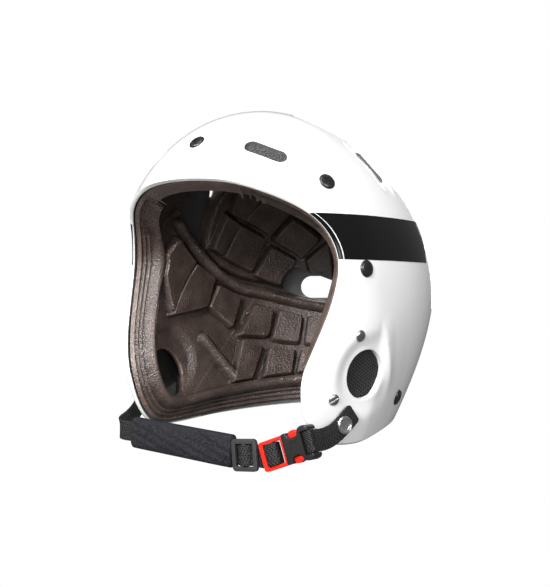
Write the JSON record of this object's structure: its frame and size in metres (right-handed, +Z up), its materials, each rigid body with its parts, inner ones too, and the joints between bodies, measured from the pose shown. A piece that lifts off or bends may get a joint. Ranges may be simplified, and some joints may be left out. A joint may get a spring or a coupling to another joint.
{
  "type": "water helmet",
  "caption": "Hard-shell water sports helmet with moulded ear covers, foam liner, vents, side stripes and a quick-release chin strap with a sliding chin pad.",
  "frame": {"origin": "centre of the head cavity, midway between the wearer's temples and about 25 mm above the ears", "axes": "+Z up toward the crown, -Y toward the face opening, +X toward the wearer's left ear"},
  "size_m": [0.2224, 0.2472, 0.2598],
  "materials": {
    "shell_white": "gloss",
    "stripe_black": "gloss",
    "vent_foam": "matte",
    "mesh_black": "matte",
    "ring_black": "satin",
    "plug_black": "satin",
    "socket_black": "matte",
    "screw_silver": "satin",
    "rivet_silver": "polished",
    "liner_foam": "satin",
    "webbing": "matte",
    "buckle_black": "satin",
    "buckle_red": "satin",
    "slider_grey": "satin",
    "pad_fabric": "matte"
  },
  "bodies": {
    "shell": {"outer_shell": "shell_white", "stripe_left": "stripe_black", "stripe_right": "stripe_black", "vent_screen_left": "vent_foam", "vent_screen_right": "vent_foam", "ear_mesh_left": "mesh_black", "ear_mesh_right": "mesh_black", "ear_ring_left": "ring_black", "ear_ring_right": "ring_black", "liner_plugs": "plug_black", "plug_sockets": "socket_black", "ear_screws": "screw_silver", "screw_barrels": "screw_silver", "strap_rivet_left": "rivet_silver", "strap_rivet_right": "rivet_silver", "rivet_washers": "rivet_silver", "brow_pad": "liner_foam", "crown_pad_front": "liner_foam", "crown_pad_left": "liner_foam", "crown_pad_right": "liner_foam", "ear_pad_left": "liner_foam", "ear_pad_right": "liner_foam", "rear_pad": "liner_foam"},
    "chin_strap": {"strap_left": "webbing", "strap_right": "webbing", "buckle_body": "buckle_black"},
    "strap_end": {"buckle_frame": "buckle_red", "frame_webbing": "webbing"},
    "upper_prong": {"prong_upper": "buckle_red"},
    "lower_prong": {"prong_lower": "buckle_red"},
    "slider": {"strap_slider": "slider_grey"},
    "pad": {"chin_pad": "pad_fabric"}
  },
  "joints": [
    {"name": "strap_swing", "type": "hinge", "parent": "shell", "child": "chin_strap", "pos_m": [0, -0.0315, -0.0942], "axis": [1, 0, 0], "range_deg": [-15, 40]},
    {"name": "buckle_release", "type": "slide", "parent": "chin_strap", "child": "strap_end", "axis": [-0.9397, 0, -0.342], "range_m": [0, 0.024], "deforming": ["strap_right", "prong_upper", "prong_lower"]},
    {"name": "prong_upper_squeeze", "type": "hinge", "parent": "strap_end", "child": "upper_prong", "pos_m": [0.06992, -0.0575, -0.10421], "axis": [0, 1, 0], "range_deg": [0, 7], "stiffness_Nm_per_rad": 0.05},
    {"name": "prong_lower_squeeze", "type": "hinge", "parent": "strap_end", "child": "lower_prong", "pos_m": [0.07444, -0.0575, -0.11662], "axis": [0, 1, 0], "range_deg": [-7, 0], "stiffness_Nm_per_rad": 0.05},
    {"name": "strap_adjust", "type": "slide", "parent": "strap_end", "child": "slider", "axis": [-0.9988, 0, 0.0488], "range_m": [0, 0.01], "deforming": ["frame_webbing"]},
    {"name": "chin_pad_slide", "type": "slide", "parent": "strap_end", "child": "pad", "axis": [-0.9988, 0, 0.0488], "range_m": [0, 0.01]}
  ],
  "couplings": [
    {"joint": "prong_lower_squeeze", "follows": "prong_upper_squeeze", "ratio": -1},
    {"joint": "chin_pad_slide", "follows": "strap_adjust", "ratio": 1}
  ]
}
